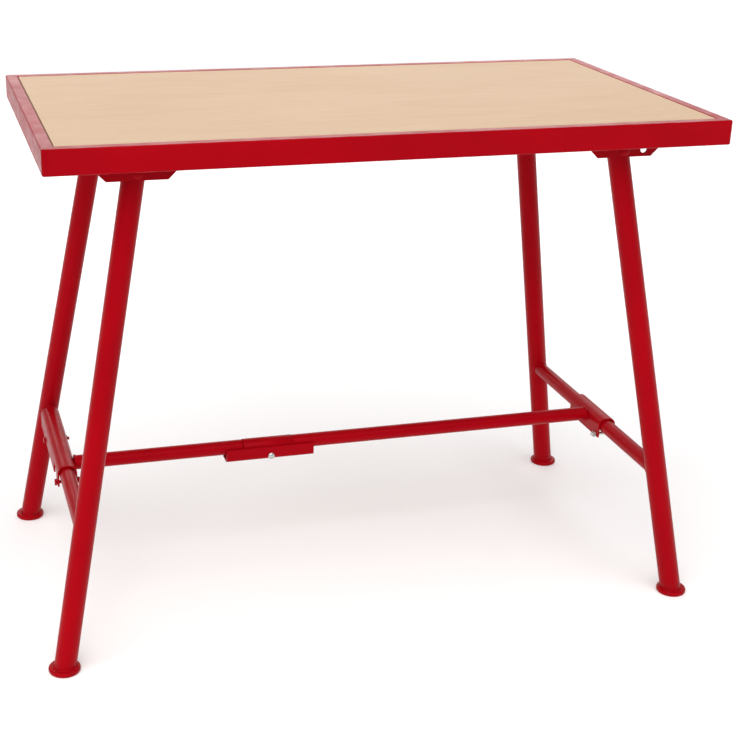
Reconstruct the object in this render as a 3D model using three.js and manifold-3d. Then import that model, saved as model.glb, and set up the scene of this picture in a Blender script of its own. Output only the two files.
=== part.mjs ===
// Folding work bench: a plywood board inset in a steel tube frame, on two pairs of splayed tube
// legs that fold flat under the board, braced by two cross rails and a long stretcher in two halves.
// Millimetres, +Z up, +X along the length, the front long side at -Y, origin on the floor under the middle.

import * as THREE from 'three';
import { mergeVertices } from 'three/addons/utils/BufferGeometryUtils.js';
import Module from 'manifold-3d';

const wasm = await Module();
wasm.setup();

// ---------- driving dimensions ----------
const LENGTH = 1100;            // frame, along X
const DEPTH = 590;              // frame, along Y
const HEIGHT = 865;             // top of the board above the floor
const GAP = 0.3;                // between pieces that touch
const ROUND = 32;               // sides of a tube or a rod
const FINE_ROUND = 24;          // sides of a bolt, a screw or a hole for one
const ARC_STEPS = 6;            // steps round a quarter turn of a turned edge

const RAIL = { width: 20, height: 40, wall: 2 };        // frame section
const BOARD = { thick: 18, play: 1, chamfer: 1.5 };
const LEDGE = { width: 14, thick: 5 };                  // flat bar that the board's edge rests on
const MEMBER = { width: 50, height: 16, wall: 2 };      // cross member under the board

const LEG_R = 18.2;
const LEG_WALL = 2.6;
const LEG_ABOVE_PIVOT = 9.8;    // its corners clear the bracket's base plate as the leg turns
const LEG_TOP = { x: 398, y: 191, z: 826 };             // leg axis where it would meet the frame's underside
const LEG_FOOT = { x: 547.7, y: 281.7 };                // leg axis on the floor
const FOOT = { radius: 26, thick: 8, edge: 3 };

const PIVOT_Z = 806;
const PIVOT_BOLT_R = 5;
const PIVOT_HEAD = { radius: 9, dome: 4 };
const BUSH = { outer: 8, inner: 5.3 };
const BRACKET = { base: 155, plate: 3, drop: 31.5, chamfer: 30, inside: 51 };
const BRACKET_HOLE = { radius: 6, offset: 34 };          // spare hole on the +X side of an ear

const BRACE_Z = 234;            // cross rails, axis height
const CROSS_RAIL_R = 13.45;
const CROSS_RAIL_WALL = 2.3;
const STRETCHER_Z = BRACE_Z + 3;
const STRETCHER_R = 12.6;
const STRETCHER_WALL = 2;

const SADDLE = { inside: 28, wall: 3, below: 21 };      // U over a cross rail
const LEFT_SADDLE = { y: [-42, 226], keepers: [-30, 150] };
const RIGHT_SADDLE = { y: [-63, 60], keepers: [-53, 50] };
const SADDLE_NOTCH = { half: 19, above: 2 };            // lets the left saddle swing over the long half
const KEEPER = { radius: 3, below: 17 };                // bolt under the rail that keeps the saddle on

const LEFT_HALF_END = -187;                             // free end of the short half
const SLEEVE = { x: [-186, -95], radius: 13.4 };        // solid plug between the short half and the tube
const CHANNEL = { x: [-218, -56], inside: 27.4, wall: 3, above: 1, below: 23 };
const KNEE_PIN = { x: -135.5, below: 16.7, radius: 2.6, headRadius: 6.3, dome: 3 };

// Fasteners, as shares of the shank's radius, and how far their ends stand past the nut's side.
const HEX_FLATS = 3.3;
const HEAD_HEIGHT = 1.3;
const NUT_HEIGHT = 1.6;
const PIVOT_BOLT_PAST = 12;
const KEEPER_PAST = 9;
const SCREW = { radius: 2.5, hole: 2.9, flats: 8.7, headHeight: 3, depth: 12 };

const SCREW_SPREAD = 0.35;      // share of the cross member's half length where a board screw sits
const SPARE = 2;                // how far a cutting shape stands past what it cuts
const LEG_BELOW_FLOOR = 40;     // the leg's tube is drawn this far down, then cut level
const HOLE_REACH = 40;          // half the length of a cutting rod across a bent plate

const red = { color: 0xb00a18, roughness: 0.38, metalness: 0.1 };
const steel = { color: 0xa8a8a6, roughness: 0.4, metalness: 0.9 };
const birch = { color: 0xdfc09a, roughness: 0.6, metalness: 0 };

// ---------- helpers ----------
const bench = new THREE.Group();
const vec = (x, y, z) => new THREE.Vector3(x, y, z);

function addPiece(name, geometry, finish) {
  const mesh = new THREE.Mesh(geometry, new THREE.MeshStandardMaterial(finish));
  mesh.name = name;
  bench.add(mesh);
  return mesh;
}

function solid(geometry) {
  const plain = geometry.clone();
  plain.deleteAttribute('normal');
  plain.deleteAttribute('uv');
  const merged = mergeVertices(plain, 1e-4);
  return new wasm.Manifold(new wasm.Mesh({
    numProp: 3,
    vertProperties: new Float32Array(merged.attributes.position.array),
    triVerts: new Uint32Array(merged.index.array),
  }));
}

function surface(manifold) {
  const mesh = manifold.getMesh();
  const geometry = new THREE.BufferGeometry();
  geometry.setAttribute('position', new THREE.BufferAttribute(mesh.vertProperties, 3));
  geometry.setIndex(new THREE.BufferAttribute(mesh.triVerts, 1));
  geometry.computeVertexNormals();
  return geometry;
}

function cut(geometry, ...tools) {
  return surface(tools.reduce((body, tool) => body.subtract(solid(tool)), solid(geometry)));
}

function join(...geometries) {
  return surface(geometries.slice(1).reduce((body, more) => body.add(solid(more)), solid(geometries[0])));
}

// A box from its lowest to its highest corner.
function block(low, high) {
  const size = high.clone().sub(low);
  const middle = high.clone().add(low).multiplyScalar(0.5);
  return new THREE.BoxGeometry(size.x, size.y, size.z).translate(middle.x, middle.y, middle.z);
}

function disc(radius) {
  const shape = new THREE.Shape();
  shape.absarc(0, 0, radius, 0, 2 * Math.PI, false);
  return shape;
}

// Extrudes a section drawn around the axis from one point to another.
function alongAxis(shape, from, to, sides = ROUND) {
  const span = to.clone().sub(from);
  const geometry = new THREE.ExtrudeGeometry(shape, {
    depth: span.length(), bevelEnabled: false, curveSegments: sides / 2, steps: 1,
  });
  const turn = new THREE.Quaternion().setFromUnitVectors(vec(0, 0, 1), span.normalize());
  return geometry.applyQuaternion(turn).translate(from.x, from.y, from.z);
}

const rod = (from, to, radius, sides) => alongAxis(disc(radius), from, to, sides);

function tube(from, to, radius, wall) {
  const shape = disc(radius);
  shape.holes.push(disc(radius - wall));
  return alongAxis(shape, from, to);
}

function hexagon(acrossFlats) {
  const shape = new THREE.Shape();
  const corner = acrossFlats / Math.sqrt(3);
  for (let i = 0; i < 6; i++) {
    const angle = (i + 0.5) * Math.PI / 3;
    if (i === 0) shape.moveTo(corner * Math.cos(angle), corner * Math.sin(angle));
    else shape.lineTo(corner * Math.cos(angle), corner * Math.sin(angle));
  }
  shape.closePath();
  return shape;
}

// Bolt: hexagon head outside one face, shank through, and a thread end past the other face.
function bolt(headFace, farFace, radius, past) {
  const along = farFace.clone().sub(headFace).normalize();
  const headTop = headFace.clone().addScaledVector(along, -HEAD_HEIGHT * radius);
  const tip = farFace.clone().addScaledVector(along, past);
  return join(alongAxis(hexagon(HEX_FLATS * radius), headTop, headFace), rod(headTop, tip, radius, FINE_ROUND));
}

// A low dome whose flat side is at the point and whose top is towards the direction.
function dome(point, direction, radius, height) {
  const profile = [new THREE.Vector2(0, 0)];
  for (let i = 0; i <= ARC_STEPS; i++) {
    const angle = (i * Math.PI) / (2 * ARC_STEPS);
    profile.push(new THREE.Vector2(radius * Math.cos(angle), height * Math.sin(angle)));
  }
  profile[profile.length - 1].x = 0;
  const turn = new THREE.Quaternion().setFromUnitVectors(vec(0, 1, 0), direction);
  return new THREE.LatheGeometry(profile, FINE_ROUND).applyQuaternion(turn).translate(point.x, point.y, point.z);
}

function nut(face, direction, radius) {
  const start = face.clone().addScaledVector(direction, GAP);
  const end = start.clone().addScaledVector(direction, NUT_HEIGHT * radius);
  const hole = rod(start.clone().addScaledVector(direction, -SPARE), end.clone().addScaledVector(direction, SPARE),
    radius + GAP, FINE_ROUND);
  return cut(alongAxis(hexagon(HEX_FLATS * radius), start, end), hole);
}

// Where the axis of the leg on side (sx, sy) is at height z.
function legPoint(sx, sy, z) {
  const t = (LEG_TOP.z - z) / LEG_TOP.z;
  return vec(
    sx * (LEG_TOP.x + (LEG_FOOT.x - LEG_TOP.x) * t),
    sy * (LEG_TOP.y + (LEG_FOOT.y - LEG_TOP.y) * t),
    z,
  );
}

// ---------- frame: four lengths of rectangular tube, mitred at the corners ----------
function frameRail(length, mitreGap) {
  const z = HEIGHT - RAIL.height;
  const outer = block(vec(-length / 2, 0, z), vec(length / 2, RAIL.width, HEIGHT));
  const inner = block(vec(-length, RAIL.wall, z + RAIL.wall),
    vec(length, RAIL.width - RAIL.wall, HEIGHT - RAIL.wall));
  const mitre = (side) => {
    const back = RAIL.width + SPARE;
    const shape = new THREE.Shape();
    const start = side * (length / 2 - mitreGap);
    shape.moveTo(start + side * SPARE, -SPARE);
    shape.lineTo(start - side * back, back);
    shape.lineTo(start + side * back, back);
    shape.lineTo(start + side * back, -SPARE);
    shape.closePath();
    return new THREE.ExtrudeGeometry(shape, { depth: RAIL.height + 2 * SPARE, bevelEnabled: false })
      .translate(0, 0, z - SPARE);
  };
  return cut(outer, inner, mitre(1), mitre(-1));
}

function makeFrame() {
  const long = frameRail(LENGTH, GAP);
  const short = frameRail(DEPTH, GAP);
  const front = addPiece('frame_front_rail', long, red);
  front.position.y = -DEPTH / 2;
  const back = addPiece('frame_back_rail', long, red);
  back.rotation.z = Math.PI;
  back.position.y = DEPTH / 2;
  const right = addPiece('frame_right_rail', short, red);
  right.rotation.z = Math.PI / 2;
  right.position.x = LENGTH / 2;
  const left = addPiece('frame_left_rail', short, red);
  left.rotation.z = -Math.PI / 2;
  left.position.x = -LENGTH / 2;
}

// ---------- board, its ledges and the cross members ----------
const boardX = LENGTH / 2 - RAIL.width - BOARD.play;
const boardY = DEPTH / 2 - RAIL.width - BOARD.play;
const boardBottom = HEIGHT - BOARD.thick;
const insideX = LENGTH / 2 - RAIL.width - GAP;
const insideY = DEPTH / 2 - RAIL.width - GAP;
const supportTop = boardBottom - GAP;
const memberBottom = supportTop - MEMBER.height;
const memberY = insideY - LEDGE.width - GAP;
const screwSpots = [];
for (const sx of [-1, 1]) {
  for (const sy of [-1, 1]) screwSpots.push({ sx, x: sx * LEG_TOP.x, y: sy * memberY * SCREW_SPREAD });
}

function screwHole(spot, radius) {
  return rod(vec(spot.x, spot.y, memberBottom - SPARE), vec(spot.x, spot.y, boardBottom + SCREW.depth + 1),
    radius, FINE_ROUND);
}

function makeBoard() {
  const shape = new THREE.Shape();
  const c = BOARD.chamfer;
  const x = boardX - c;
  const y = boardY - c;
  shape.moveTo(-x, -y);
  shape.lineTo(x, -y);
  shape.lineTo(x, y);
  shape.lineTo(-x, y);
  shape.closePath();
  const slab = new THREE.ExtrudeGeometry(shape, {
    depth: BOARD.thick - 2 * c, bevelEnabled: true, bevelThickness: c, bevelSize: c, bevelSegments: 1,
  }).translate(0, 0, boardBottom + c);
  addPiece('worktop_board', cut(slab, ...screwSpots.map((spot) => screwHole(spot, SCREW.hole))), birch);
}

function makeLedges() {
  const low = supportTop - LEDGE.thick;
  const sideY = insideY - LEDGE.width - GAP;
  for (const [name, side] of [['front_ledge', -1], ['back_ledge', 1]]) {
    const ledge = new THREE.BoxGeometry(2 * insideX, LEDGE.width, LEDGE.thick);
    const mesh = addPiece(name, ledge, red);
    mesh.position.set(0, side * (insideY - LEDGE.width / 2), low + LEDGE.thick / 2);
  }
  for (const [name, side] of [['left_ledge', -1], ['right_ledge', 1]]) {
    const ledge = new THREE.BoxGeometry(LEDGE.width, 2 * sideY, LEDGE.thick);
    const mesh = addPiece(name, ledge, red);
    mesh.position.set(side * (insideX - LEDGE.width / 2), 0, low + LEDGE.thick / 2);
  }
}

function makeCrossMember(name, sx) {
  const x = sx * LEG_TOP.x;
  const half = MEMBER.width / 2;
  const outer = block(vec(x - half, -memberY, memberBottom), vec(x + half, memberY, supportTop));
  const inner = block(
    vec(x - half + MEMBER.wall, -memberY - 1, memberBottom + MEMBER.wall),
    vec(x + half - MEMBER.wall, memberY + 1, supportTop - MEMBER.wall),
  );
  const holes = screwSpots.filter((spot) => spot.sx === sx).map((spot) => screwHole(spot, SCREW.hole));
  addPiece(name, cut(outer, inner, ...holes), red);
}

function makeBoardScrews() {
  for (const [i, spot] of screwSpots.entries()) {
    const head = memberBottom - GAP;
    const screw = join(
      alongAxis(hexagon(SCREW.flats), vec(spot.x, spot.y, head - SCREW.headHeight), vec(spot.x, spot.y, head)),
      rod(vec(spot.x, spot.y, head - 1), vec(spot.x, spot.y, boardBottom + SCREW.depth), SCREW.radius, FINE_ROUND),
    );
    addPiece(`board_screw_${i + 1}`, screw, steel);
  }
}

// ---------- leg brackets: a base plate with two ears, and the pivot bolt between them ----------
const bracketTop = memberBottom - GAP;
const bracketBottom = LEG_TOP.z - BRACKET.drop;
const pivotBoltHalf = BRACKET.inside / 2 + BRACKET.plate;

function earShape(spare) {
  const shape = new THREE.Shape();
  const half = BRACKET.base / 2;
  const foot = half - BRACKET.chamfer;
  const top = bracketTop - PIVOT_Z;
  const bottom = bracketBottom - PIVOT_Z;
  shape.moveTo(-foot, bottom);
  shape.lineTo(foot, bottom);
  shape.lineTo(half, bottom + BRACKET.chamfer);
  shape.lineTo(half, top);
  shape.lineTo(-half, top);
  shape.lineTo(-half, bottom + BRACKET.chamfer);
  shape.closePath();
  const pivotHole = new THREE.Path();
  pivotHole.absarc(0, 0, PIVOT_BOLT_R + GAP, 0, 2 * Math.PI, false);
  shape.holes.push(pivotHole);
  if (spare) {
    const hole = new THREE.Path();
    hole.absarc(BRACKET_HOLE.offset, 0, BRACKET_HOLE.radius, 0, 2 * Math.PI, false);
    shape.holes.push(hole);
  }
  return shape;
}

// Only the right brackets have the spare hole.
function makeBracket(name, sx, pivot) {
  const inside = BRACKET.inside / 2;
  const [nearEar, farEar] = [-1, 1].map((side) => new THREE.ExtrudeGeometry(earShape(sx > 0), {
    depth: BRACKET.plate, bevelEnabled: false, curveSegments: 12,
  }).rotateX(Math.PI / 2).translate(0, side * inside + (side > 0 ? BRACKET.plate : 0), 0));
  const top = bracketTop - PIVOT_Z;
  const base = block(
    vec(-BRACKET.base / 2, -inside - BRACKET.plate, top - BRACKET.plate),
    vec(BRACKET.base / 2, inside + BRACKET.plate, top),
  );
  const mesh = addPiece(`${name}_leg_bracket`, join(base, nearEar, farEar), red);
  mesh.position.copy(pivot);
}

function makePivotBolt(name, pivot, sy) {
  const out = vec(0, sy, 0);
  const headFace = pivot.clone().addScaledVector(out, pivotBoltHalf + GAP);
  const farFace = pivot.clone().addScaledVector(out, -pivotBoltHalf);
  const tip = farFace.clone().addScaledVector(out, -PIVOT_BOLT_PAST);
  addPiece(`${name}_pivot_bolt`, join(rod(headFace, tip, PIVOT_BOLT_R, FINE_ROUND),
    dome(headFace, out, PIVOT_HEAD.radius, PIVOT_HEAD.dome)), red);
  addPiece(`${name}_pivot_nut`, nut(farFace, out.clone().negate(), PIVOT_BOLT_R), red);
}

// ---------- legs ----------
function makeLeg(name, sx, sy, pivot) {
  const top = legPoint(sx, sy, PIVOT_Z + LEG_ABOVE_PIVOT);
  const below = legPoint(sx, sy, -LEG_BELOW_FLOOR);
  const across = vec(0, BRACKET.inside, 0);
  const bushHole = rod(pivot.clone().sub(across), pivot.clone().add(across), BUSH.outer + GAP);
  const reach = 2 * LEG_BELOW_FLOOR;
  const floorCut = block(vec(below.x - reach, below.y - reach, -reach),
    vec(below.x + reach, below.y + reach, FOOT.thick + GAP));
  addPiece(`${name}_leg`, cut(tube(top, below, LEG_R, LEG_WALL), bushHole, floorCut), red);

  const half = vec(0, BRACKET.inside / 2 - GAP, 0);
  addPiece(`${name}_pivot_bush`,
    tube(pivot.clone().sub(half), pivot.clone().add(half), BUSH.outer, BUSH.outer - BUSH.inner), steel);

  const profile = [new THREE.Vector2(0, 0)];
  for (let i = 0; i <= ARC_STEPS; i++) {
    const angle = -Math.PI / 2 + (i * Math.PI) / (2 * ARC_STEPS);
    profile.push(new THREE.Vector2(
      FOOT.radius - FOOT.edge + FOOT.edge * Math.cos(angle),
      FOOT.edge + FOOT.edge * Math.sin(angle),
    ));
  }
  for (let i = 0; i <= ARC_STEPS; i++) {
    const angle = (i * Math.PI) / (2 * ARC_STEPS);
    profile.push(new THREE.Vector2(
      FOOT.radius - FOOT.edge + FOOT.edge * Math.cos(angle),
      FOOT.thick - FOOT.edge + FOOT.edge * Math.sin(angle),
    ));
  }
  profile.push(new THREE.Vector2(0, FOOT.thick));
  const foot = addPiece(`${name}_foot`, new THREE.LatheGeometry(profile, ROUND).rotateX(Math.PI / 2), red);
  const spot = legPoint(sx, sy, 0);
  foot.position.set(spot.x, spot.y, 0);
}

// ---------- cross rails, saddles and the stretcher ----------
const braceX = legPoint(1, 1, BRACE_Z).x;
const braceY = legPoint(1, 1, BRACE_Z).y;

function makeCrossRail(name, sx) {
  const rail = tube(vec(sx * braceX, -braceY, BRACE_Z), vec(sx * braceX, braceY, BRACE_Z),
    CROSS_RAIL_R, CROSS_RAIL_WALL);
  const reach = 2 * LEG_R;
  const coped = [-1, 1].map((sy) => rod(legPoint(sx, sy, BRACE_Z - reach), legPoint(sx, sy, BRACE_Z + reach),
    LEG_R + GAP));
  addPiece(name, cut(rail, ...coped), red);
}

// A U of bent plate open at its foot or, turned over, at its top, along the given stretch.
function plateU(inside, wall, above, below, length) {
  const half = inside / 2;
  const shape = new THREE.Shape();
  shape.moveTo(-half - wall, -below);
  shape.lineTo(-half, -below);
  shape.lineTo(-half, above - wall);
  shape.lineTo(half, above - wall);
  shape.lineTo(half, -below);
  shape.lineTo(half + wall, -below);
  shape.lineTo(half + wall, above);
  shape.lineTo(-half - wall, above);
  shape.closePath();
  return new THREE.ExtrudeGeometry(shape, { depth: length, bevelEnabled: false }).rotateX(Math.PI / 2);
}

function makeSaddle(side, sx, { y: [y0, y1], keepers }) {
  const x = sx * braceX;
  const above = SADDLE.inside / 2 + SADDLE.wall;
  const wallFace = SADDLE.inside / 2 + SADDLE.wall;
  const u = plateU(SADDLE.inside, SADDLE.wall, above, SADDLE.below, y1 - y0).translate(x, y1, BRACE_Z);
  const z = BRACE_Z - KEEPER.below;
  const cuts = keepers.map((y) => rod(vec(x - HOLE_REACH, y, z), vec(x + HOLE_REACH, y, z),
    KEEPER.radius + GAP, FINE_ROUND));
  if (sx < 0) {
    cuts.push(block(
      vec(x - wallFace - 1, -SADDLE_NOTCH.half, BRACE_Z - SADDLE.below - 1),
      vec(x - wallFace + SADDLE.wall + 1, SADDLE_NOTCH.half, BRACE_Z + SADDLE_NOTCH.above),
    ));
  }
  addPiece(`${side}_saddle`, cut(u, ...cuts), red);
  for (const [i, y] of keepers.entries()) {
    const headFace = vec(x + sx * (wallFace + GAP), y, z);
    const farFace = vec(x - sx * wallFace, y, z);
    const finish = sx < 0 ? red : steel;
    addPiece(`${side}_keeper_bolt_${i + 1}`, bolt(headFace, farFace, KEEPER.radius, KEEPER_PAST), finish);
    addPiece(`${side}_keeper_nut_${i + 1}`, nut(farFace, vec(-sx, 0, 0), KEEPER.radius), finish);
  }
}

function makeStretcher() {
  const saddleFace = braceX - SADDLE.inside / 2 - SADDLE.wall - GAP;
  addPiece('left_stretcher_tube', tube(vec(-saddleFace, 0, STRETCHER_Z), vec(LEFT_HALF_END, 0, STRETCHER_Z),
    STRETCHER_R, STRETCHER_WALL), red);
  addPiece('right_stretcher_tube', tube(vec(SLEEVE.x[1] + GAP, 0, STRETCHER_Z), vec(saddleFace, 0, STRETCHER_Z),
    STRETCHER_R, STRETCHER_WALL), red);
  addPiece('knee_plug', rod(vec(SLEEVE.x[0], 0, STRETCHER_Z), vec(SLEEVE.x[1], 0, STRETCHER_Z), SLEEVE.radius), red);

  const length = CHANNEL.x[1] - CHANNEL.x[0];
  const pinZ = STRETCHER_Z - KNEE_PIN.below;
  const wallFace = CHANNEL.inside / 2 + CHANNEL.wall;
  const channel = plateU(CHANNEL.inside, CHANNEL.wall, CHANNEL.below, CHANNEL.above, length)
    .rotateZ(Math.PI / 2).rotateX(Math.PI).translate(CHANNEL.x[0], 0, STRETCHER_Z);
  const pinHole = rod(vec(KNEE_PIN.x, -HOLE_REACH, pinZ), vec(KNEE_PIN.x, HOLE_REACH, pinZ),
    KNEE_PIN.radius + GAP, FINE_ROUND);
  addPiece('knee_channel', cut(channel, pinHole), red);

  const pin = [vec(KNEE_PIN.x, -wallFace - GAP, pinZ), vec(KNEE_PIN.x, wallFace + GAP, pinZ)];
  addPiece('knee_pin', kneePin(pin), steel);
}

// A rivet: a shank with a low dome on each end.
function kneePin([near, far]) {
  const out = vec(0, 1, 0);
  return join(rod(near, far, KNEE_PIN.radius, FINE_ROUND),
    dome(near, out.clone().negate(), KNEE_PIN.headRadius, KNEE_PIN.dome),
    dome(far, out, KNEE_PIN.headRadius, KNEE_PIN.dome));
}

// ---------- assembly ----------
makeFrame();
makeBoard();
makeLedges();
makeCrossMember('left_cross_member', -1);
makeCrossMember('right_cross_member', 1);
makeBoardScrews();
for (const [side, sx] of [['left', -1], ['right', 1]]) {
  for (const [end, sy] of [['front', -1], ['back', 1]]) {
    const name = `${end}_${side}`;
    const pivot = legPoint(sx, sy, PIVOT_Z);
    makeBracket(name, sx, pivot);
    makePivotBolt(name, pivot, sy);
    makeLeg(name, sx, sy, pivot);
  }
  makeCrossRail(`${side}_cross_rail`, sx);
}
makeSaddle('left', -1, LEFT_SADDLE);
makeSaddle('right', 1, RIGHT_SADDLE);
makeStretcher();

export default bench;
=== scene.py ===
"""Folding work bench: fine meshes and painted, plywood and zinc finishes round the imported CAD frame.

Metres, +Z up, +X along the bench, the front long side at -Y, origin on the floor under the middle.
"""
import math

import bmesh
import bpy
from mathutils import Matrix, Vector


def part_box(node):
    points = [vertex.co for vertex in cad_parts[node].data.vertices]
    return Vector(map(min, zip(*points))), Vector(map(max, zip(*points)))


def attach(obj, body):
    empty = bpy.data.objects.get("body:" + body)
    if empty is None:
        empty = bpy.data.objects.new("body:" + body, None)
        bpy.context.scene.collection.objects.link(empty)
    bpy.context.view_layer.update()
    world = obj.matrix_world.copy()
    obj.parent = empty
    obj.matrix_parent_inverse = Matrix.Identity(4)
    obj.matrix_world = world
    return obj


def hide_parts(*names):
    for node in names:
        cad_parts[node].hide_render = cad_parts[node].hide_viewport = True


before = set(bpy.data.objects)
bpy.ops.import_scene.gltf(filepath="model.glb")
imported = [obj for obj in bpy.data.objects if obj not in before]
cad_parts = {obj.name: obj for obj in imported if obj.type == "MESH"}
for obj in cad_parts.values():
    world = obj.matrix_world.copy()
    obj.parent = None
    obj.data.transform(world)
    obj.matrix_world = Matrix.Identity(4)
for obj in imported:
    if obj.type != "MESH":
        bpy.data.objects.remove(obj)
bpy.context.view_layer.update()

MM = 0.001
SIDES = 72                      # sides of a leg or a rail
PAINT_SLOT = "red_paint"
STEEL_SLOT = "zinc_steel"
BOARD_SLOT = "birch_board"

# Sections that a box doesn't tell.
RAIL_EDGE = 2.6 * MM            # rounding of the frame tube's long edges
RAIL_CORNER = 4.0 * MM          # rounding of the frame's upright corners
LEG_RADIUS = 18.2 * MM
LEG_WALL = 2.6 * MM
LEG_ABOVE_PIVOT = 9.8 * MM
CROSS_WALL = 2.3 * MM
STRETCHER_WALL = 2.0 * MM
BUSH_BORE = 5.3 * MM
MEMBER_WALL = 2.0 * MM
PLATE = 3.0 * MM                # leg bracket
BRACKET_CHAMFER = 30 * MM
BRACKET_HOLE = 6.0 * MM
BRACKET_HOLE_OFFSET = 34 * MM
SADDLE_WALL = 3.0 * MM
SADDLE_BEND = 11 * MM           # inner radius: the saddle follows the rail
NOTCH_HALF = 19 * MM
NOTCH_ABOVE = 2 * MM
PIVOT_BOLT = 5.0 * MM           # radii of the shanks
PIVOT_HEAD = 4.0 * MM           # height of the pivot bolt's domed head
KEEPER_BOLT = 3.0 * MM
SCREW_SHANK = 2.5 * MM
KNEE_SHANK = 2.6 * MM
KNEE_HEAD = 3.0 * MM            # height of the knee pin's domes
SOFT_EDGE = 0.45 * MM           # broken edge of cut plate
CLEAR = 0.3 * MM                # round a bolt in its hole, and under a weld
HEX_FLATS = 3.3                 # across a hexagon's flats, in shank radii
HEAD_HEIGHT = 1.3               # of a hexagon head, in shank radii
HEX_TURN = math.radians(30)     # slope of a hexagon's turned-off corners
SCREW_FLATS = 8.7 * MM          # board screw: hexagon head, thread and plain shank
SCREW_HEAD = 3.0 * MM
SCREW_THREAD = 14 * MM
FOOT_EDGE = 2.8 * MM
FOOT_WELD = 1.9 * MM            # radii of the weld beads
RAIL_WELD = 1.8 * MM
STRETCHER_WELD = 1.6 * MM
SAME_POINT = 0.002 * MM         # points nearer than this are merged

ENDS = {"front": -1, "back": 1}
HANDS = {"left": -1, "right": 1}
UP = Vector((0, 0, 1))
ALONG_X = Vector((1, 0, 0))
ALONG_Y = Vector((0, 1, 0))


# ---------- meshes ----------
def centre(node):
    low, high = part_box(node)
    return (low + high) / 2


def shaded(bm, sharp_degrees):
    """Smooth faces, with the edges steeper than sharp_degrees kept sharp."""
    limit = math.radians(sharp_degrees)
    for face in bm.faces:
        face.smooth = True
    for edge in bm.edges:
        edge.smooth = edge.calc_face_angle(0.0) < limit


def broken_edges(bm, width, steps=2, over_degrees=40):
    limit = math.radians(over_degrees)
    edges = [e for e in bm.edges if e.is_manifold and e.calc_face_angle(0.0) > limit]
    bmesh.ops.bevel(bm, geom=edges, offset=width, segments=steps, profile=0.5,
                    affect="EDGES", clamp_overlap=True)


def to_bmesh(points, faces):
    bm = bmesh.new()
    made = [bm.verts.new(p) for p in points]
    for face in faces:
        bm.faces.new([made[i] for i in face])
    bmesh.ops.remove_doubles(bm, verts=bm.verts, dist=SAME_POINT)
    bmesh.ops.recalc_face_normals(bm, faces=bm.faces)
    return bm


def piece(name, bm, look, body, slot, stands_for=(), sharp=50, weighted=False):
    """Turns a bmesh into a finished piece that rides on a body."""
    shaded(bm, sharp)
    mesh = bpy.data.meshes.new(name)
    bm.to_mesh(mesh)
    bm.free()
    for material in look if isinstance(look, list) else [look]:
        mesh.materials.append(material)
    obj = bpy.data.objects.new(name, mesh)
    bpy.context.scene.collection.objects.link(obj)
    if weighted:
        modifier = obj.modifiers.new("even_normals", "WEIGHTED_NORMAL")
        modifier.keep_sharp = True
    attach(obj, body)
    if stands_for:
        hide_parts(*stands_for)
    return obj


def basis(axis):
    """Two unit vectors square to an axis, the first as level as it can be."""
    axis = axis.normalized()
    side = axis.cross(UP)
    if side.length < 1e-6:
        side = ALONG_X.copy()
    side.normalize()
    return side, side.cross(axis).normalized()


def loft(rings, closed_ends=True, joined=False):
    """Quads between rings of equally many points; joined meets the last ring with the first."""
    count = len(rings[0])
    points = [p for ring in rings for p in ring]
    faces = []
    spans = len(rings) if joined else len(rings) - 1
    for r in range(spans):
        here = r * count
        there = ((r + 1) % len(rings)) * count
        for i in range(count):
            j = (i + 1) % count
            faces.append((here + i, here + j, there + j, there + i))
    if closed_ends and not joined:
        faces.append(tuple(range(count)))
        faces.append(tuple(range(len(points) - count, len(points))))
    return to_bmesh(points, faces)


def ring(middle, axis, radius, count=SIDES):
    side, up = basis(axis)
    turn = 2 * math.pi / count
    return [middle + radius * (math.cos(i * turn) * side + math.sin(i * turn) * up) for i in range(count)]


def turned(start, axis, profile, count=SIDES, closed=False):
    """A turned shape from (distance along the axis, radius) pairs. closed joins its ends, as on a tube."""
    axis = axis.normalized()
    rings = [ring(start + axis * at, axis, radius, count) for at, radius in profile]
    return loft(rings, closed_ends=not closed, joined=closed)


def tube_profile(length, radius, wall, edge=0.5 * MM):
    inner = radius - wall
    return [(edge, radius), (length - edge, radius), (length, radius - edge), (length, inner + edge),
            (length - edge, inner), (edge, inner), (0, inner + edge), (0, radius - edge)]


def arc(cx, cy, radius, start, end, steps=5):
    out = []
    for i in range(steps + 1):
        angle = math.radians(start + (end - start) * i / steps)
        out.append((cx + radius * math.cos(angle), cy + radius * math.sin(angle)))
    return out


def rounded_box_outline(low, high, radius, steps=5):
    """Outline of a rectangle with rounded corners, anticlockwise from its right side."""
    (x0, y0), (x1, y1) = low, high
    corners = ((x1 - radius, y1 - radius), (x0 + radius, y1 - radius),
               (x0 + radius, y0 + radius), (x1 - radius, y0 + radius))
    outline = []
    for quarter, (x, y) in enumerate(corners):
        outline += arc(x, y, radius, 90 * quarter, 90 * quarter + 90, steps)
    return outline


def u_outline(inside, wall, top, bottom, bend=2.0 * MM):
    """Section of bent plate, open at the bottom, with its web's outer face at top."""
    half = inside / 2
    outer = half + wall
    inner_arc = arc(-half + bend, top - wall - bend, bend, 180, 90)
    inner_arc += arc(half - bend, top - wall - bend, bend, 90, 0)
    big = bend + wall
    outer_arc = arc(outer - big, top - big, big, 0, 90) + arc(-outer + big, top - big, big, 90, 180)
    return [(-outer, bottom), (-half, bottom), *inner_arc, (half, bottom), (outer, bottom), *outer_arc]


def extruded(outline, place):
    """Extrudes an outline; place(a, b, end) gives the point for end 0 or 1."""
    rings = [[place(a, b, end) for a, b in outline] for end in (0, 1)]
    return loft(rings)


def box_bm(low, high, edge=0.6 * MM):
    outline = [(high.x, low.y), (high.x, high.y), (low.x, high.y), (low.x, low.y)]
    bm = extruded(outline, lambda a, b, end: Vector((a, b, (low.z, high.z)[end])))
    if edge:
        broken_edges(bm, edge)
    return bm


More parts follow.
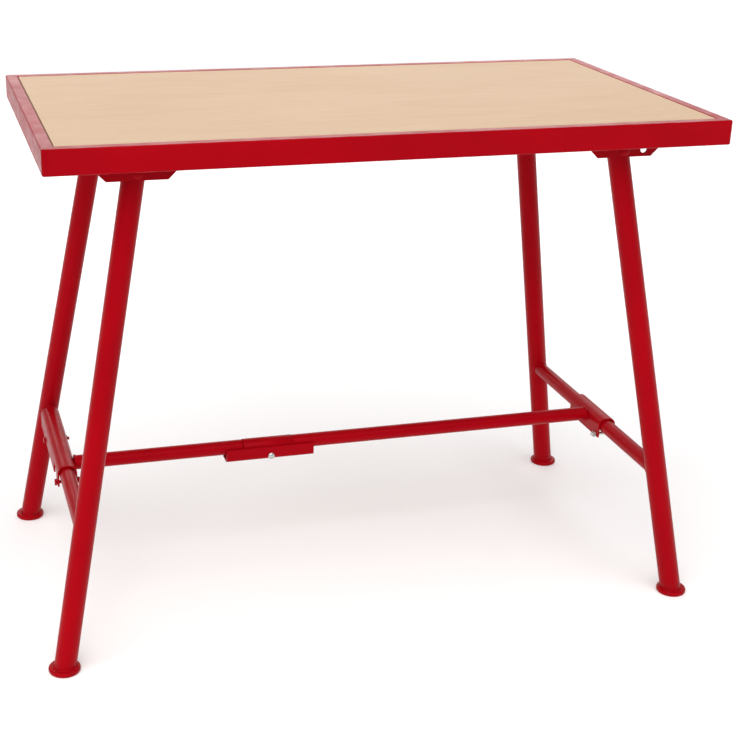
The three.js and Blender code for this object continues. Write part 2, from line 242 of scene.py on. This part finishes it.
def scratch_object(bm):
    mesh = bpy.data.meshes.new("scratch")
    bm.to_mesh(mesh)
    bm.free()
    obj = bpy.data.objects.new("scratch", mesh)
    bpy.context.scene.collection.objects.link(obj)
    return obj


def carved(bm, cutters):
    """The shape less its cutters, as a bmesh."""
    body = scratch_object(bm)
    tools = [scratch_object(cutter) for cutter in cutters]
    for tool in tools:
        modifier = body.modifiers.new("cut", "BOOLEAN")
        modifier.operation = "DIFFERENCE"
        modifier.solver = "EXACT"
        modifier.object = tool
    bpy.context.view_layer.update()
    graph = bpy.context.evaluated_depsgraph_get()
    mesh = bpy.data.meshes.new_from_object(body.evaluated_get(graph))
    out = bmesh.new()
    out.from_mesh(mesh)
    bmesh.ops.remove_doubles(out, verts=out.verts, dist=SAME_POINT)
    bmesh.ops.dissolve_limit(out, angle_limit=math.radians(0.5), verts=out.verts, edges=out.edges)
    for tool in [body, *tools]:
        old = tool.data
        bpy.data.objects.remove(tool)
        bpy.data.meshes.remove(old)
    bpy.data.meshes.remove(mesh)
    return out


def drill(point, axis, radius, reach):
    return turned(point - axis * reach, axis, [(0, radius), (2 * reach, radius)], 32)


def bead(path, thickness, ripple=0.16, around=10):
    """A weld bead: a round string laid along a closed path, with its ripples."""
    middle = sum(path, Vector()) / len(path)
    rings = []
    count = len(path)
    for i, point in enumerate(path):
        tangent = (path[(i + 1) % count] - path[i - 1]).normalized()
        out = point - middle
        out = (out - tangent * out.dot(tangent)).normalized()
        other = tangent.cross(out)
        size = thickness * (1 + ripple * math.sin(i * 2 * math.pi / 5))
        rings.append([point + size * (math.cos(k * 2 * math.pi / around) * out
                                      + math.sin(k * 2 * math.pi / around) * other) for k in range(around)])
    return loft(rings, joined=True)


# ---------- materials ----------
class Nodes:
    """A material's nodes, with short calls for the kinds used here."""

    def __init__(self, name):
        self.material = bpy.data.materials.new(name)
        self.material.use_nodes = True
        self.tree = self.material.node_tree
        self.shader = self.tree.nodes["Principled BSDF"]
        self.place = self.tree.nodes.new("ShaderNodeTexCoord").outputs["Object"]

    def link(self, output, node, name):
        self.tree.links.new(output, node.inputs[name])

    def scaled(self, x, y, z, source=None):
        node = self.tree.nodes.new("ShaderNodeMapping")
        self.link(source or self.place, node, "Vector")
        node.inputs["Scale"].default_value = (x, y, z)
        return node.outputs["Vector"]

    def noise(self, scale, detail=3.0, roughness=0.5, source=None, distortion=0.0):
        node = self.tree.nodes.new("ShaderNodeTexNoise")
        self.link(source or self.place, node, "Vector")
        node.inputs["Scale"].default_value = scale
        node.inputs["Detail"].default_value = detail
        node.inputs["Roughness"].default_value = roughness
        node.inputs["Distortion"].default_value = distortion
        return node.outputs["Fac"]

    def spread(self, value, low, high, to_low=0.0, to_high=1.0):
        node = self.tree.nodes.new("ShaderNodeMapRange")
        self.link(value, node, "Value")
        node.inputs["From Min"].default_value = low
        node.inputs["From Max"].default_value = high
        node.inputs["To Min"].default_value = to_low
        node.inputs["To Max"].default_value = to_high
        return node.outputs["Result"]

    def times(self, a, b):
        node = self.tree.nodes.new("ShaderNodeMath")
        node.operation = "MULTIPLY"
        self.tree.links.new(a, node.inputs[0])
        self.tree.links.new(b, node.inputs[1])
        return node.outputs[0]

    def mixed(self, factor, a, b):
        node = self.tree.nodes.new("ShaderNodeMix")
        node.data_type = "RGBA"
        self.tree.links.new(factor, node.inputs[0])
        for value, socket in ((a, node.inputs[6]), (b, node.inputs[7])):
            if isinstance(value, tuple):
                socket.default_value = (*value, 1)
            else:
                self.tree.links.new(value, socket)
        return node.outputs[2]

    def height(self):
        node = self.tree.nodes.new("ShaderNodeSeparateXYZ")
        self.link(self.place, node, "Vector")
        return node.outputs["Z"]

    def bump(self, value, strength, distance, below=None):
        node = self.tree.nodes.new("ShaderNodeBump")
        self.link(value, node, "Height")
        node.inputs["Strength"].default_value = strength
        node.inputs["Distance"].default_value = distance
        if below is not None:
            self.link(below, node, "Normal")
        return node.outputs["Normal"]

    def colour(self, output):
        self.link(output, self.shader, "Base Color")

    def rough(self, output):
        self.link(output, self.shader, "Roughness")

    def normal(self, output):
        self.link(output, self.shader, "Normal")


RED = (0.350, 0.0008, 0.0050)
RED_DEEP = (0.295, 0.0006, 0.0046)
RED_WORN = (0.230, 0.008, 0.010)
RED_GLOSS = (1.0, 0.25, 0.30, 1.0)
BARE_STEEL = (0.13, 0.09, 0.085)
BIRCH_PALE = (0.690, 0.494, 0.334)
BIRCH_DARK = (0.640, 0.440, 0.284)
BIRCH_BLOTCH = (0.658, 0.464, 0.312)
BIRCH_GRAIN = (0.530, 0.346, 0.204)
BIRCH_PORE = (0.400, 0.245, 0.130)
PLY_PALE = (0.700, 0.520, 0.335)
PLY_DARK = (0.480, 0.300, 0.165)
PLY_FIBRE = (0.330, 0.195, 0.100)
ZINC_BRIGHT = (0.62, 0.62, 0.60)
ZINC_CLOUD = (0.46, 0.46, 0.44)
ZINC_DULL = (0.28, 0.27, 0.25)


def red_enamel(name, worn_below):
    """Gloss enamel with a little orange peel. Below worn_below metres it is scuffed and chipped."""
    n = Nodes(name)
    cloudy = n.spread(n.noise(5.0, 4.0, 0.6), 0.35, 0.68)
    paint = n.mixed(cloudy, RED, RED_DEEP)
    near_floor = n.spread(n.height(), worn_below, worn_below * 0.25)
    scuff = n.times(n.spread(n.noise(140.0, 5.0, 0.65), 0.56, 0.62), near_floor)
    chip = n.times(n.spread(n.noise(260.0, 3.0, 0.55), 0.69, 0.71), near_floor)
    paint = n.mixed(scuff, paint, RED_WORN)
    n.colour(n.mixed(chip, paint, BARE_STEEL))
    streaks = n.noise(28.0, 6.0, 0.62, n.scaled(1.0, 1.0, 3.0))
    n.rough(n.spread(streaks, 0.3, 0.72, 0.27, 0.41))
    peel = n.bump(n.noise(520.0, 2.0, 0.45), 0.16, 0.00012)
    n.normal(n.bump(n.noise(60.0, 2.0, 0.5), 0.10, 0.0005, peel))
    n.shader.inputs["Specular IOR Level"].default_value = 0.12
    n.shader.inputs["Specular Tint"].default_value = RED_GLOSS
    return n.material


def birch_face(name):
    """Rotary-cut birch face veneer: soft blotches, long fine grain along X, and short pores."""
    n = Nodes(name)
    warped = n.scaled(1.6, 6.0, 6.0)
    bands = n.spread(n.noise(2.2, 6.0, 0.65, warped, 0.7), 0.30, 0.72)
    wood = n.mixed(bands, BIRCH_PALE, BIRCH_DARK)
    blotch = n.spread(n.noise(3.1, 3.0, 0.5), 0.38, 0.72, 0.0, 0.55)
    wood = n.mixed(blotch, wood, BIRCH_BLOTCH)
    grain = n.noise(1.0, 6.0, 0.6, n.scaled(6.0, 260.0, 260.0))
    wood = n.mixed(n.spread(grain, 0.52, 0.78, 0.0, 0.34), wood, BIRCH_GRAIN)
    pores = n.spread(n.noise(1.0, 2.0, 0.5, n.scaled(55.0, 900.0, 900.0)), 0.66, 0.72, 0.0, 0.35)
    n.colour(n.mixed(pores, wood, BIRCH_PORE))
    n.rough(n.spread(grain, 0.3, 0.8, 0.46, 0.62))
    n.normal(n.bump(grain, 0.12, 0.0002))
    n.shader.inputs["Specular IOR Level"].default_value = 0.08
    return n.material


def birch_edge(name, layer):
    """The board's sawn edge, with its plies of that thickness light and dark in turn."""
    n = Nodes(name)
    wave = n.tree.nodes.new("ShaderNodeTexWave")
    wave.wave_type = "BANDS"
    wave.bands_direction = "Z"
    wave.wave_profile = "SIN"
    n.link(n.place, wave, "Vector")
    wave.inputs["Scale"].default_value = math.pi / (10 * layer)
    wave.inputs["Distortion"].default_value = 0.25
    plies = n.spread(wave.outputs["Fac"], 0.35, 0.65)
    wood = n.mixed(plies, PLY_PALE, PLY_DARK)
    fibre = n.noise(1.0, 5.0, 0.6, n.scaled(500.0, 500.0, 70.0))
    n.colour(n.mixed(n.spread(fibre, 0.55, 0.75, 0.0, 0.5), wood, PLY_FIBRE))
    n.rough(n.spread(fibre, 0.3, 0.8, 0.6, 0.8))
    n.normal(n.bump(fibre, 0.3, 0.0003))
    return n.material


def zinc_steel(name):
    """Zinc-plated steel, faintly brushed and clouded."""
    n = Nodes(name)
    cloud = n.spread(n.noise(160.0, 4.0, 0.6), 0.35, 0.7)
    metal = n.mixed(cloud, ZINC_BRIGHT, ZINC_CLOUD)
    dull = n.spread(n.noise(420.0, 3.0, 0.6), 0.62, 0.72, 0.0, 0.5)
    n.colour(n.mixed(dull, metal, ZINC_DULL))
    brushed = n.noise(1.0, 3.0, 0.6, n.scaled(400.0, 2600.0, 2600.0))
    n.rough(n.spread(brushed, 0.3, 0.75, 0.28, 0.48))
    n.normal(n.bump(brushed, 0.12, 0.00008))
    n.shader.inputs["Metallic"].default_value = 1.0
    return n.material


PLY = 1.5 * MM
PAINT = red_enamel("red_enamel", 0.0001)
PAINT_LOW = red_enamel("red_enamel_by_the_floor", 0.03)
FACE = birch_face("birch_face")
EDGE = birch_edge("birch_edge", PLY)
ZINC = zinc_steel("zinc_plated_steel")


# ---------- frame ----------
def frame_rail(node, direction, outward):
    """One mitred length of frame tube. direction runs along it, and outward points away from the board."""
    low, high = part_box(node)
    width = abs((high - low).dot(outward))
    half = abs((high - low).dot(direction)) / 2
    face = (low + high) / 2 + outward * (width / 2)
    outline = rounded_box_outline((0, low.z), (width, high.z), RAIL_EDGE, 6)

    def section(end, degrees):
        angle = math.radians(degrees)
        points = []
        for depth, z in outline:
            if depth < RAIL_CORNER:
                radius = RAIL_CORNER - depth
                along = half - RAIL_CORNER + radius * math.sin(angle)
                inward = RAIL_CORNER - radius * math.cos(angle)
            else:
                along = half - depth
                inward = depth
            point = face + direction * (end * along) - outward * inward
            points.append(Vector((point.x, point.y, z)))
        return points

    steps = (45, 36, 27, 18, 9, 0)
    bm = loft([section(-1, d) for d in steps] + [section(1, d) for d in reversed(steps)])
    bmesh.ops.dissolve_degenerate(bm, dist=SAME_POINT / 2, edges=bm.edges)
    bmesh.ops.recalc_face_normals(bm, faces=bm.faces)
    piece(f"{node}_tube", bm, PAINT, "table", PAINT_SLOT, [node], weighted=True)


def worktop():
    """The plywood board, with a face grain above and below and its plies at the edge."""
    low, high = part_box("worktop_board")
    bm = box_bm(low, high, 1.1 * MM)
    for face in bm.faces:
        if abs(face.normal.z) < 0.5:
            face.material_index = 1
    piece("worktop_board_ply", bm, [FACE, EDGE], "table", BOARD_SLOT, ["worktop_board"], weighted=True)


def ledges():
    for side in ("front", "back", "left", "right"):
        node = f"{side}_ledge"
        bar = box_bm(*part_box(node), 0.7 * MM)
        piece(f"{node}_bar", bar, PAINT, "table", PAINT_SLOT, [node], weighted=True)


def cross_member(node):
    """Flat rectangular tube under the board, open at its ends."""
    low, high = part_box(node)
    w = MEMBER_WALL
    outer = rounded_box_outline((low.x, low.z), (high.x, high.z), 2.5 * MM, 4)
    inner = rounded_box_outline((low.x + w, low.z + w), (high.x - w, high.z - w), 0.8 * MM, 4)

    def at(outline, y):
        return [Vector((x, y, z)) for x, z in outline]

    rings = [at(outer, low.y), at(outer, high.y), at(inner, high.y), at(inner, low.y)]
    piece(f"{node}_tube", loft(rings, joined=True), PAINT, "table", PAINT_SLOT, [node], weighted=True)


# ---------- fasteners ----------
def hex_radius(angle, flats):
    sixth = math.pi / 3
    return flats / 2 / math.cos((angle % sixth) - sixth / 2)


def hex_rings(start, axis, flats, height, chamfer_far, bore=0.0, count=48):
    """Rings of a hexagon head or nut, its corners turned off at the near face and, if asked, the far one."""
    side, up = basis(axis)
    reach = flats / 2 * 1.01
    slope = math.tan(HEX_TURN)
    drop = (flats / math.sqrt(3) - flats / 2) * slope
    near = [(drop * s, reach + drop * s / slope) for s in (0, 0.15, 0.3, 0.5, 0.75, 1)]
    far = [(height - at, limit) for at, limit in reversed(near)] if chamfer_far else [(height, 2 * flats)]
    turn = 2 * math.pi / count
    rings = []
    for at, limit in near + far:
        rings.append([start + axis * at + min(hex_radius(i * turn, flats), limit)
                      * (math.cos(i * turn) * side + math.sin(i * turn) * up) for i in range(count)])
    if bore:
        lead = 0.6 * MM
        for at, radius in ((height, bore + lead), (height - lead, bore), (lead, bore), (0, bore + lead)):
            rings.append(ring(start + axis * at, axis, radius, count))
    return rings


def threaded(start, axis, length, radius, pitch, count=24):
    """Rings of a threaded end with a helical groove and a pointed-off tip."""
    side, up = basis(axis)
    depth = 0.55 * pitch
    steps = int(length / pitch * 8)
    rings = []
    for s in range(steps + 1):
        at = length * s / steps
        tip = min(1.0, (length - at) / (1.4 * pitch) + 0.35)
        points = []
        for i in range(count):
            angle = 2 * math.pi * i / count
            phase = (at / pitch - i / count) % 1.0
            groove = depth * (1 - abs(2 * phase - 1)) * 0.5
            size = min(radius - groove, radius - depth * 0.5 + (tip - 0.6) * depth)
            points.append(start + axis * at + size * (math.cos(angle) * side + math.sin(angle) * up))
        rings.append(points)
    return rings


def bolt(node, body, shank, pitch, head_side, look, slot, domed=False):
    """Bolt along the longest side of its node's box; head_side is the end of that side with the head."""
    low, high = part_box(node)
    size = high - low
    axis = ALONG_Y if size.y > size.x else ALONG_X
    middle = (low + high) / 2
    length = size.dot(axis)
    head_top = middle + axis * (head_side * length / 2)
    inward = axis * -head_side
    if domed:
        head_height = PIVOT_HEAD
        bm = turned(head_top, inward, dome_profile(min(size) / 2, head_height), 48)
    else:
        head_height = HEAD_HEIGHT * shank
        bm = loft(hex_rings(head_top, inward, HEX_FLATS * shank, head_height, False))
    stem_from = head_height * 0.5
    merge(bm, turned(head_top + inward * stem_from, inward, [(0, shank), (length * 0.62, shank)], 32))
    thread_from = stem_from + length * 0.6
    merge(bm, loft(threaded(head_top + inward * thread_from, inward, length - thread_from, shank, pitch)))
    piece(f"{node}_threaded", bm, look, body, slot, [node], sharp=32)


def dome_profile(radius, height):
    """A low dome from its top to its flat side."""
    rise = [math.radians(a) for a in range(0, 91, 10)]
    curve = [(height - height * math.cos(a), max(radius * math.sin(a), 0.1 * MM)) for a in rise]
    return curve + [(height + 0.2 * MM, radius * 0.97)]


def merge(bm, other):
    mesh = bpy.data.meshes.new("part")
    other.to_mesh(mesh)
    other.free()
    bm.from_mesh(mesh)
    bpy.data.meshes.remove(mesh)


def hex_nut(node, body, shank, look, slot):
    low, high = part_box(node)
    size = high - low
    axis = ALONG_Y if size.y < size.x else ALONG_X
    middle = (low + high) / 2
    height = size.dot(axis)
    start = middle - axis * (height / 2)
    bm = loft(hex_rings(start, axis, HEX_FLATS * shank, height, True, bore=shank + CLEAR), joined=True)
    piece(f"{node}_hex", bm, look, body, slot, [node], sharp=32)


def board_screw(node):
    """Washer-headed hexagon screw up into the board."""
    low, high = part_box(node)
    middle = centre(node)
    start = Vector((middle.x, middle.y, low.z))
    thread_start = Vector((middle.x, middle.y, high.z - SCREW_THREAD))
    plain = high.z - low.z - SCREW_THREAD
    bm = loft(hex_rings(start, UP, SCREW_FLATS, SCREW_HEAD, False))
    merge(bm, loft(threaded(thread_start, UP, SCREW_THREAD, SCREW_SHANK, 1.4 * MM)))
    merge(bm, turned(start + UP * 2 * MM, UP, [(0, SCREW_SHANK), (plain, SCREW_SHANK)], 24))
    piece(f"{node}_hex", bm, ZINC, "table", STEEL_SLOT, [node], sharp=32)


# ---------- leg brackets, legs and feet ----------
def leg_bracket(node, pivot, hand):
    """Bent plate with two ears, drilled for the pivot. The right ones have a spare hole beside it."""
    low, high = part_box(node)
    inside = high.y - low.y - 2 * PLATE
    section = u_outline(inside, PLATE, high.z, low.z, 3 * MM)

    def place(a, b, end):
        return Vector(((low.x, high.x)[end], pivot.y + a, b))

    def place_wedge(a, b, end):
        return Vector((a, (low.y - PLATE, high.y + PLATE)[end], b))

    cutters = []
    past = 5 * MM
    for side, corner in ((1, low.x), (-1, high.x)):
        wedge = [(corner - side * past, low.z + BRACKET_CHAMFER + past),
                 (corner - side * past, low.z - past),
                 (corner + side * (BRACKET_CHAMFER + past), low.z - past)]
        cutters.append(extruded(wedge, place_wedge))
    reach = high.y - low.y
    cutters.append(drill(pivot, ALONG_Y, PIVOT_BOLT + CLEAR, reach))
    if hand == "right":
        cutters.append(drill(pivot + ALONG_X * BRACKET_HOLE_OFFSET, ALONG_Y, BRACKET_HOLE, reach))
    bm = carved(extruded(section, place), cutters)
    broken_edges(bm, SOFT_EDGE)
    piece(f"{node}_plate", bm, PAINT, "table", PAINT_SLOT, [node], weighted=True)


def leg_axis(name):
    """(point on the floor, pivot) of a leg's axis."""
    foot = centre(f"{name}_foot")
    return Vector((foot.x, foot.y, 0)), centre(f"{name}_pivot_bush")


def leg_ellipse(foot, pivot, z, radius, count):
    """Points round a leg where a level plane cuts it."""
    axis = (pivot - foot).normalized()
    side, up = basis(axis)
    points = []
    for i in range(count):
        angle = 2 * math.pi * i / count
        around = foot + radius * (math.cos(angle) * side + math.sin(angle) * up)
        points.append(around + axis * ((z - around.z) / axis.z))
    return points


def leg(name, body):
    """Tube from the foot to just above its pivot, cut level at the bottom and drilled for the bush."""
    foot, pivot = leg_axis(name)
    axis = (pivot - foot).normalized()
    floor_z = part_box(f"{name}_foot")[1].z + CLEAR
    top = pivot + axis * LEG_ABOVE_PIVOT
    below_pivot = pivot - axis * 1.5 * LEG_RADIUS
    edge = 0.5 * MM
    inner = LEG_RADIUS - LEG_WALL
    rings = [
        leg_ellipse(foot, pivot, floor_z, LEG_RADIUS, SIDES),
        ring(below_pivot, axis, LEG_RADIUS),
        ring(top - axis * edge, axis, LEG_RADIUS),
        ring(top, axis, LEG_RADIUS - edge),
        ring(top, axis, inner + edge),
        ring(top - axis * edge, axis, inner),
        ring(below_pivot, axis, inner),
        leg_ellipse(foot, pivot, floor_z, inner, SIDES),
    ]
    low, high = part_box(f"{name}_pivot_bush")
    bush_hole = drill(pivot, ALONG_Y, (high.z - low.z) / 2 + CLEAR, high.y - low.y)
    bm = carved(loft(rings, joined=True), [bush_hole])
    piece(f"{name}_leg_tube", bm, PAINT_LOW, body, PAINT_SLOT, [f"{name}_leg"], sharp=40)
    path = leg_ellipse(foot, pivot, floor_z - 0.2 * MM, LEG_RADIUS + CLEAR, 90)
    piece(f"{name}_foot_weld", bead(path, FOOT_WELD), PAINT_LOW, body, PAINT_SLOT, sharp=80)


def foot_disc(name, body):
    node = f"{name}_foot"
    low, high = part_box(node)
    middle = centre(node)
    radius = (high.x - low.x) / 2
    thick = high.z - low.z
    rim = radius - FOOT_EDGE
    core = radius * 0.45
    lower = arc(FOOT_EDGE, rim, FOOT_EDGE, 180, 90, 6)
    upper = arc(thick - FOOT_EDGE, rim, FOOT_EDGE, 90, 0, 6)
    profile = [(0, core), *lower, *upper, (thick, core)]
    bm = turned(Vector((middle.x, middle.y, low.z)), UP, profile, 80)
    piece(f"{node}_disc", bm, PAINT_LOW, body, PAINT_SLOT, [node], sharp=50)


def pivot_bush(name, body):
    node = f"{name}_pivot_bush"
    low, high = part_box(node)
    radius = (high.z - low.z) / 2
    start = Vector((centre(node).x, low.y, centre(node).z))
    profile = tube_profile(high.y - low.y, radius, radius - BUSH_BORE, 0.4 * MM)
    bm = turned(start, ALONG_Y, profile, 48, True)
    piece(f"{node}_sleeve", bm, ZINC, body, STEEL_SLOT, [node], sharp=40)


# ---------- cross rails and the stretcher ----------
def on_leg(x, z, side_y, foot, pivot, radius):
    """Y where the level line at (x, z) meets a leg's surface on the side nearer the middle."""
    axis = (pivot - foot).normalized()
    start = Vector((x, 0, z)) - foot
    flat = start - axis * start.dot(axis)
    line = ALONG_Y - axis * axis.y
    a = line.dot(line)
    b = 2 * flat.dot(line)
    c = flat.dot(flat) - radius * radius
    root = math.sqrt(max(b * b - 4 * a * c, 0))
    return (-b - side_y * root) / (2 * a)


def cross_rail(hand, body):
    """Round tube between a pair of legs, its ends coped onto them and welded all round."""
    node = f"{hand}_cross_rail"
    low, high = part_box(node)
    middle = (low + high) / 2
    radius = (high.z - low.z) / 2

    def end_ring(end, size, leg_radius):
        foot, pivot = leg_axis(f"{end}_{hand}")
        points = []
        for i in range(SIDES):
            angle = 2 * math.pi * i / SIDES
            x = middle.x + size * math.cos(angle)
            z = middle.z + size * math.sin(angle)
            points.append(Vector((x, on_leg(x, z, ENDS[end], foot, pivot, leg_radius), z)))
        return points

    inner = radius - CROSS_WALL
    touch = LEG_RADIUS - 0.2 * MM
    rings = [end_ring("front", radius, touch), end_ring("back", radius, touch),
             end_ring("back", inner, touch), end_ring("front", inner, touch)]
    piece(f"{node}_tube", loft(rings, joined=True), PAINT, body, PAINT_SLOT, [node], sharp=40)
    for end in ENDS:
        path = end_ring(end, radius + CLEAR, LEG_RADIUS + CLEAR)
        piece(f"{end}_{hand}_rail_weld", bead(path, RAIL_WELD), PAINT, body, PAINT_SLOT, sharp=80)


def saddle(hand, body):
    """Bent plate over a cross rail, drilled for its keeper bolts."""
    node = f"{hand}_saddle"
    low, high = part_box(node)
    middle = (low + high) / 2
    outline = u_outline(high.x - low.x - 2 * SADDLE_WALL, SADDLE_WALL, high.z, low.z, SADDLE_BEND)
    bm = extruded(outline, lambda a, b, end: Vector((middle.x + a, (low.y, high.y)[end], b)))
    cutters = []
    for number in (1, 2):
        at = centre(f"{hand}_keeper_bolt_{number}")
        hole = Vector((middle.x, at.y, at.z))
        cutters.append(drill(hole, ALONG_X, KEEPER_BOLT + CLEAR, high.x - low.x))
    if hand == "left":
        rail = centre("left_cross_rail")
        notch_low = Vector((low.x - SADDLE_WALL, -NOTCH_HALF, low.z - SADDLE_WALL))
        notch_high = Vector((low.x + 1.5 * SADDLE_WALL, NOTCH_HALF, rail.z + NOTCH_ABOVE))
        cutters.append(box_bm(notch_low, notch_high, 0))
    bm = carved(bm, cutters)
    broken_edges(bm, SOFT_EDGE)
    piece(f"{node}_plate", bm, PAINT, body, PAINT_SLOT, [node], weighted=True)
    for number in (1, 2):
        look, slot = (PAINT, PAINT_SLOT) if hand == "left" else (ZINC, STEEL_SLOT)
        bolt(f"{hand}_keeper_bolt_{number}", body, KEEPER_BOLT, 1.0 * MM, HANDS[hand], look, slot)
        hex_nut(f"{hand}_keeper_nut_{number}", body, KEEPER_BOLT, look, slot)


def stretcher_tube(hand, body):
    node = f"{hand}_stretcher_tube"
    low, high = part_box(node)
    radius = (high.z - low.z) / 2
    middle = centre(node)
    start = Vector((low.x, middle.y, middle.z))
    bm = turned(start, ALONG_X, tube_profile(high.x - low.x, radius, STRETCHER_WALL), 64, True)
    piece(f"{node}_round", bm, PAINT, body, PAINT_SLOT, [node], sharp=40)
    welded_x = low.x if hand == "left" else high.x
    seam = Vector((welded_x - HANDS[hand] * STRETCHER_WELD / 2, middle.y, middle.z))
    path = ring(seam, ALONG_X, radius, 75)
    piece(f"{hand}_stretcher_weld", bead(path, STRETCHER_WELD), PAINT, body, PAINT_SLOT, sharp=80)


def knee(body):
    """The long half's end: a solid plug, the channel welded under it, and a domed pin across."""
    low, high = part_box("knee_plug")
    middle = centre("knee_plug")
    radius = (high.z - low.z) / 2
    length = high.x - low.x
    edge = 0.8 * MM
    plug = turned(Vector((low.x, middle.y, middle.z)), ALONG_X,
                  [(0, radius - edge), (edge, radius), (length - edge, radius), (length, radius - edge)], 64)
    piece("knee_plug_round", plug, PAINT, body, PAINT_SLOT, ["knee_plug"], sharp=50)

    low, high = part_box("knee_channel")
    outline = u_outline(high.y - low.y - 2 * SADDLE_WALL, SADDLE_WALL, -low.z, -high.z, 3 * MM)
    bm = extruded(outline, lambda a, b, end: Vector(((low.x, high.x)[end], a, -b)))
    pin = centre("knee_pin")
    bm = carved(bm, [drill(pin, ALONG_Y, KNEE_SHANK + CLEAR, high.y - low.y)])
    broken_edges(bm, SOFT_EDGE)
    piece("knee_channel_plate", bm, PAINT, body, PAINT_SLOT, ["knee_channel"], weighted=True)

    low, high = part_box("knee_pin")
    length = high.y - low.y
    cap = dome_profile((high.x - low.x) / 2, KNEE_HEAD)
    profile = cap + [(KNEE_HEAD + CLEAR, KNEE_SHANK)]
    profile += [(length - at, size) for at, size in reversed(profile)]
    bm = turned(Vector((pin.x, low.y, pin.z)), ALONG_Y, profile, 40)
    piece("knee_pin_rivet", bm, ZINC, body, STEEL_SLOT, ["knee_pin"], sharp=50)


# ---------- the bench ----------
frame_rail("frame_front_rail", ALONG_X, -ALONG_Y)
frame_rail("frame_back_rail", ALONG_X, ALONG_Y)
frame_rail("frame_left_rail", ALONG_Y, -ALONG_X)
frame_rail("frame_right_rail", ALONG_Y, ALONG_X)
worktop()
ledges()
for hand in HANDS:
    cross_member(f"{hand}_cross_member")
    for end, side_y in ENDS.items():
        name = f"{end}_{hand}"
        leg_bracket(f"{name}_leg_bracket", centre(f"{name}_pivot_bush"), hand)
        bolt(f"{name}_pivot_bolt", "table", PIVOT_BOLT, 1.5 * MM, side_y, PAINT, PAINT_SLOT, domed=True)
        hex_nut(f"{name}_pivot_nut", "table", PIVOT_BOLT, PAINT, PAINT_SLOT)
        leg(name, f"{hand}_legs")
        foot_disc(name, f"{hand}_legs")
        pivot_bush(name, f"{hand}_legs")
    cross_rail(hand, f"{hand}_legs")
    saddle(hand, f"{hand}_stretcher")
    stretcher_tube(hand, f"{hand}_stretcher")
for number in range(1, 5):
    board_screw(f"board_screw_{number}")
knee("right_stretcher")


# ---------- floor, lights and camera ----------
FLOOR_REACH = 40
FLOOR_PALE = (0.90, 0.90, 0.90)
FLOOR_GREY = (0.88, 0.88, 0.885)
SUN_STRENGTH = 2.55
SUN_SPREAD = math.radians(80)
SUN_WAY = (0.30, 0.62, -1.0)
WORLD_STRENGTH = 0.36
LENS = 72.1
LENS_SHIFT = (0.0924, -0.0245)
CAMERA_PLACE = (-0.7459, -2.3617, 1.3483)
CAMERA_RIGHT = Vector((0.9643, -0.2642, 0.0183))
CAMERA_AHEAD = Vector((0.2533, 0.8996, -0.3558))


def floor():
    bm = bmesh.new()
    signs = ((-1, -1), (1, -1), (1, 1), (-1, 1))
    corners = [bm.verts.new((x * FLOOR_REACH, y * FLOOR_REACH, 0)) for x, y in signs]
    bm.faces.new(corners)
    mesh = bpy.data.meshes.new("floor")
    bm.to_mesh(mesh)
    bm.free()
    n = Nodes("pale_floor")
    n.colour(n.mixed(n.spread(n.noise(1.5, 2.0), 0.3, 0.7), FLOOR_PALE, FLOOR_GREY))
    n.shader.inputs["Roughness"].default_value = 0.75
    n.shader.inputs["Specular IOR Level"].default_value = 0.1
    n.shader.inputs["Emission Color"].default_value = (1, 1, 1, 1)
    n.shader.inputs["Emission Strength"].default_value = 0.12
    mesh.materials.append(n.material)
    obj = bpy.data.objects.new("floor", mesh)
    bpy.context.scene.collection.objects.link(obj)


def area_light(name, place, target, size, watts, colour=(1, 1, 1)):
    data = bpy.data.lights.new(name, "AREA")
    data.shape = "RECTANGLE"
    data.size, data.size_y = size
    data.energy = watts
    data.color = colour
    obj = bpy.data.objects.new(name, data)
    obj.location = place
    obj.rotation_euler = (Vector(target) - Vector(place)).to_track_quat("-Z", "Y").to_euler()
    bpy.context.scene.collection.objects.link(obj)


def lights():
    """A broad high sun for the even studio light, and two softboxes for the gloss along the tubes."""
    data = bpy.data.lights.new("overhead_light", "SUN")
    data.energy = SUN_STRENGTH
    data.angle = SUN_SPREAD
    obj = bpy.data.objects.new("overhead_light", data)
    obj.rotation_euler = Vector(SUN_WAY).to_track_quat("-Z", "Y").to_euler()
    bpy.context.scene.collection.objects.link(obj)
    area_light("key_softbox", place=(-1.5, -3.2, 2.6), target=(0, 0, 0.5), size=(1.2, 1.8), watts=22,
               colour=(1.0, 0.985, 0.97))
    area_light("back_softbox", place=(0.8, 4.2, 2.0), target=(0.3, 0, 0.6), size=(4.8, 1.3), watts=45)
    world = bpy.data.worlds.new("studio")
    world.use_nodes = True
    background = world.node_tree.nodes["Background"]
    background.inputs["Color"].default_value = (1, 1, 1, 1)
    background.inputs["Strength"].default_value = WORLD_STRENGTH
    bpy.context.scene.world = world


def camera():
    """Camera at the reference view: a 72 mm lens, 20.8 degrees down and 15.7 degrees to the right of +Y."""
    data = bpy.data.cameras.new("camera")
    data.sensor_width = 36
    data.lens = LENS
    data.shift_x, data.shift_y = LENS_SHIFT
    obj = bpy.data.objects.new("camera", data)
    right = CAMERA_RIGHT.normalized()
    ahead = CAMERA_AHEAD.normalized()
    up = right.cross(ahead).normalized()
    turn = Matrix((right, up, -ahead)).transposed().to_4x4()
    obj.matrix_world = Matrix.Translation(CAMERA_PLACE) @ turn
    bpy.context.scene.collection.objects.link(obj)
    bpy.context.scene.camera = obj


floor()
lights()
camera()
bpy.context.scene.view_settings.view_transform = "Standard"
